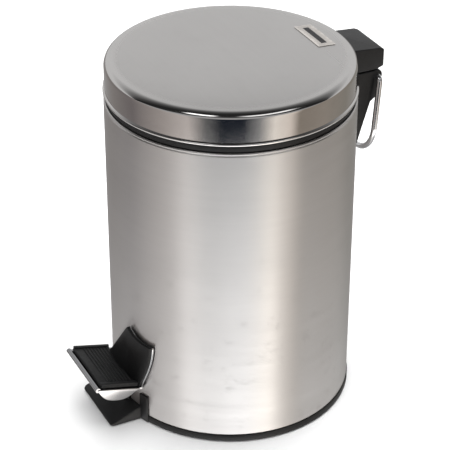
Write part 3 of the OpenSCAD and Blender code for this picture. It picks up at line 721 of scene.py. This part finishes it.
def bucketForm(inset, low, high, grow=0):
    clearSelection()
    bpy.ops.mesh.primitive_cone_add(vertices=192, radius1=(bucket["bottom"] - inset) * mm,
                                    radius2=(bucket["mouth"] - inset + grow) * mm, depth=(high - low) * mm,
                                    location=(0, 0, (low + high) / 2 * mm))
    form = named("innerBucket")
    pickAll(form)
    bpy.ops.mesh.bisect(plane_co=(0, (bucket["flatY"] - inset) * mm, 0), plane_no=(0, 1, 0),
                        use_fill=True, clear_outer=True)
    objectMode()
    return form


innerBucket = bucketForm(0, bucketZ, rimTop - 0.2)
roundEdges(innerBucket, 3, 6, 50)
rimLine = [(60, rimTop - bucket["rim"]), (rimR - bucket["skirt"], rimTop - bucket["rim"]),
           (rimR - bucket["skirt"], rimLow), (rimR - 0.3, rimLow), (rimR, rimLow + 0.3)]
rimLine += arcPoints((rimR - 1.2, rimTop - 1.2), 1.2, 0, 90, 6) + [(60, rimTop)]
cutWith(innerBucket, spinRound("rim", rimLine), "UNION")
hollow = bucketForm(bucket["wall"], bucketZ + bucket["wall"], rimTop + 3, 0.1)
roundEdges(hollow, 2, 5, 50)
cutWith(innerBucket, hollow)
cutWith(innerBucket, blockTool((-bucket["notch"], bucket["flatY"] + 0.02, rimLow - 1),
                               (bucket["notch"], 100, 250)))
roundEdges(innerBucket, 0.25, 2, 60)
finishPiece(innerBucket, "bin", bucketPlastic, "bucket_plastic", "inner_bucket", angle=35)

wire = {"radius": 1.2, "loop": 67.8, "bend": 1.8, "end": 73.9, "z": rimLow + 5.99 - 12}
loopR, wireBend = wire["loop"], wire["bend"]
bucketBail = bentWire("bucketBail", wire["radius"], (-wire["end"], 0, wire["z"]), (1, 0, 0), [
    ("go", (wire["end"] - loopR - wireBend, 0, 0)),
    ("turn", (-loopR - wireBend, -wireBend, wire["z"]), (0, 0, 1), -90),
    ("turn", (0, -wireBend, wire["z"]), (0, 0, 1), 180),
    ("turn", (loopR + wireBend, -wireBend, wire["z"]), (0, 0, 1), -90),
    ("go", (wire["end"] - loopR - wireBend, 0, 0))])
finishPiece(bucketBail, "bin", wireSteel, "bright_steel", "bucket_bail", angle=50)

# finishes on the CAD pieces that stay
kept = {
    "pivot_bracket": mechSteel, "pivot_screws": mechSteel, "pedal_axle": mechSteel, "axle_clips": mechSteel,
    "pedal_lever": mechSteel, "tray_rivets": chrome, "push_rod": mechSteel, "rod_collar": mechSteel,
    "rod_guide": blackPlastic, "lid_crank": mechSteel, "lid_bumpers": rubberFinish, "cap_rivets": mechSteel,
    "hinge_pin": mechSteel, "bracket_screws": mechSteel}
for nodeName, finish in kept.items():
    for slotOfNode in frame["nodes"][nodeName].material_slots:
        slotOfNode.material = finish
print("CAD pieces finished:", len(kept))

# floor
clearSelection()
stage = {"across": 12, "below": 0.0002, "tone": (0.93, 0.93, 0.93, 1)}
bpy.ops.mesh.primitive_plane_add(size=1, location=(0, 0, -stage["below"]))
bpy.context.active_object.scale = (stage["across"], stage["across"], 1)
floor = named("floor")
floorFinish, nodes, links, shader = newFinish("floorFinish", Roughness=0.9, Specular_IOR_Level=0.0)
shader.inputs["Base Color"].default_value = stage["tone"]
floor.data.materials.append(floorFinish)
floor.visible_glossy = False  # the steel mirrors the graded surroundings below instead

# camera
view = {"azimuth": 63.5, "away": 1.0549, "high": 0.7599, "down": 31.08, "swing": 0.2, "roll": 0.08,
        "lens": 141.2}
azimuth = math.radians(view["azimuth"])
clearSelection()
bpy.ops.object.camera_add()
camera = bpy.context.active_object
turn = Matrix.Rotation(math.radians(view["azimuth"] + view["swing"]), 4, "Z")
turn = turn @ Matrix.Rotation(math.radians(90 - view["down"]), 4, "X")
turn = turn @ Matrix.Rotation(math.radians(view["roll"]), 4, "Z")
spot = Vector((view["away"] * math.sin(azimuth), -view["away"] * math.cos(azimuth), view["high"]))
camera.matrix_world = Matrix.Translation(spot) @ turn
camera.data.lens = view["lens"]
camera.data.sensor_width = 36
camera.data.clip_start = 0.01
bpy.context.scene.camera = camera
print("floor and camera placed")

# graded studio surroundings
world = bpy.data.worlds.new("studio")
bpy.context.scene.world = world
world.use_nodes = True
nodes, links = world.node_tree.nodes, world.node_tree.links
shade = nodes["Background"]
way = addNode(nodes, "ShaderNodeTexCoord").outputs["Generated"]


def alongWay(direction):
    node = addNode(nodes, "ShaderNodeVectorMath", operation="DOT_PRODUCT")
    node.inputs[1].default_value = direction
    links.new(way, node.inputs[0])
    return node.outputs["Value"]


toward = alongWay((math.sin(azimuth), -math.cos(azimuth), 0))
aside = alongWay((math.cos(azimuth), math.sin(azimuth), 0))
upward = alongWay((0, 0, 1))
bearing = mathOn(nodes, links, "ARCTAN2", aside, toward)
bearing = rangeOn(nodes, links, bearing, -math.pi, math.pi, 0, 1)  # 0.5 faces the camera side
height = rangeOn(nodes, links, mathOn(nodes, links, "ARCSINE", upward), -math.pi / 2, math.pi / 2, 0, 1)


def bearingStops(table):
    return [((degrees + 180) / 360, color) for degrees, color in table]


lowBand = rampOn(nodes, links, bearing, bearingStops([
    (-180, 0.4), (-131, (0.27, 0.25, 0.24)), (-99, (0.2, 0.18, 0.18)), (-63, (0.42, 0.38, 0.36)),
    (-38, (0.64, 0.59, 0.56)), (-22, 0.16), (-8, (0.01, 0.014, 0.022)), (12, (0.02, 0.024, 0.034)),
    (26, 0.3), (40, (1.0, 0.93, 0.85)), (55, (0.85, 0.76, 0.68)), (64, (0.3, 0.26, 0.22)),
    (92, (0.34, 0.3, 0.26)), (127, (0.28, 0.26, 0.23)), (179, 0.4)]), "LINEAR")
floorBand = rampOn(nodes, links, bearing, bearingStops([
    (-180, 0.6), (-135, 0.82), (-115, 1.12), (-99, 1.35), (-73, 1.8), (-56, 2.15), (-41, 3.9), (-31, 4.2),
    (-18, 4.7), (0, 5.6), (17, 5.7), (30, (5.5, 5.35, 5.1)), (39, (5.6, 5.35, 5.0)), (49, (2.4, 2.3, 2.2)),
    (60, (1.4, 1.35, 1.28)), (79, 1.65), (108, 1.25), (135, 1.0), (154, 0.6), (179, 0.6)]), "LINEAR")
arch = mathOn(nodes, links, "ARCTAN2", upward, mathOn(nodes, links, "MULTIPLY", toward, -1))
arch = rangeOn(nodes, links, arch, 0, math.pi, 0, 1)  # 0 is the far horizon, 0.5 overhead
highBand = rampOn(nodes, links, arch, [
    (0.0, 0.66), (0.17, 0.7), (0.25, 0.5), (0.34, 0.24), (0.45, 0.08), (0.6, 0.02), (0.84, 0.03),
    (0.9, 0.4), (1.0, 0.5)], "LINEAR")


def mixColors(fac, first, second):
    node = addNode(nodes, "ShaderNodeMix", data_type="RGBA")
    links.new(fac, node.inputs["Factor"])
    for socket, value in ((node.inputs[6], first), (node.inputs[7], second)):
        if isinstance(value, (int, float)):
            socket.default_value = (value, value, value, 1)
        else:
            links.new(value, socket)
    return node.outputs[2]


def lampSpot(bearingDeg, wide, heightAt, tall):
    # a soft-edged bright panel low down near the horizon
    across = mathOn(nodes, links, "SUBTRACT", bearing, (bearingDeg + 180) / 360)
    across = mathOn(nodes, links, "ABSOLUTE", across)
    across = rangeOn(nodes, links, across, wide / 360 * 0.5, wide / 360, 1, 0, True)
    up = mathOn(nodes, links, "ABSOLUTE", mathOn(nodes, links, "SUBTRACT", height, heightAt / 180 + 0.5))
    up = rangeOn(nodes, links, up, tall / 180 * 0.6, tall / 180, 1, 0, True)
    return mathOn(nodes, links, "MULTIPLY", across, up)


# heights run from 0 straight down to 1 straight up, with the horizon at 0.5
studio = {"floorEdge": (0.31, 0.337), "deep": (0.2, 0.32), "deepTone": 0.3, "horizon": (0.49, 0.51),
          "narrowLamp": (-30, 19, 42, 9), "narrowTone": 2.4, "wideLamp": (38, 34, 40, 9), "wideTone": 1.5}
below = mixColors(rangeOn(nodes, links, height, *studio["floorEdge"], 1, 0, True), lowBand, floorBand)
below = mixColors(rangeOn(nodes, links, height, *studio["deep"], 0.9, 0, True), below, studio["deepTone"])
whole = mixColors(rangeOn(nodes, links, height, *studio["horizon"], 0, 1, True), below, highBand)
whole = mixColors(lampSpot(*studio["narrowLamp"]), whole, studio["narrowTone"])
whole = mixColors(lampSpot(*studio["wideLamp"]), whole, studio["wideTone"])
seenDirect = addNode(nodes, "ShaderNodeLightPath").outputs["Is Camera Ray"]
whole = mixColors(seenDirect, whole, 1.0)  # the backdrop itself is plain and pale
links.new(whole, shade.inputs["Color"])
shade.inputs["Strength"].default_value = 1.0
print("surroundings graded")


# soft lamps, unseen in the steel
def softLamp(name, bearingDeg, elevation, away, size, watts):
    bpy.ops.object.light_add(type="AREA")
    lamp = bpy.context.active_object
    lamp.name = name
    lamp.data.shape = "DISK"
    lamp.data.size = size
    lamp.data.energy = watts
    turned = math.radians(view["azimuth"] + bearingDeg)
    tilt = math.radians(elevation)
    lamp.location = (away * math.cos(tilt) * math.sin(turned), -away * math.cos(tilt) * math.cos(turned),
                     away * math.sin(tilt) + 0.1)
    aim = Vector((0, 0, 0.1)) - lamp.location
    lamp.rotation_euler = aim.to_track_quat("-Z", "Y").to_euler()
    lamp.visible_glossy = False
    return lamp


softLamp("overheadLamp", 150, 75, 2.2, 3.2, 95)
softLamp("frontLamp", -30, 45, 2.4, 1.6, 18)

bpy.context.scene.view_settings.view_transform = "Standard"
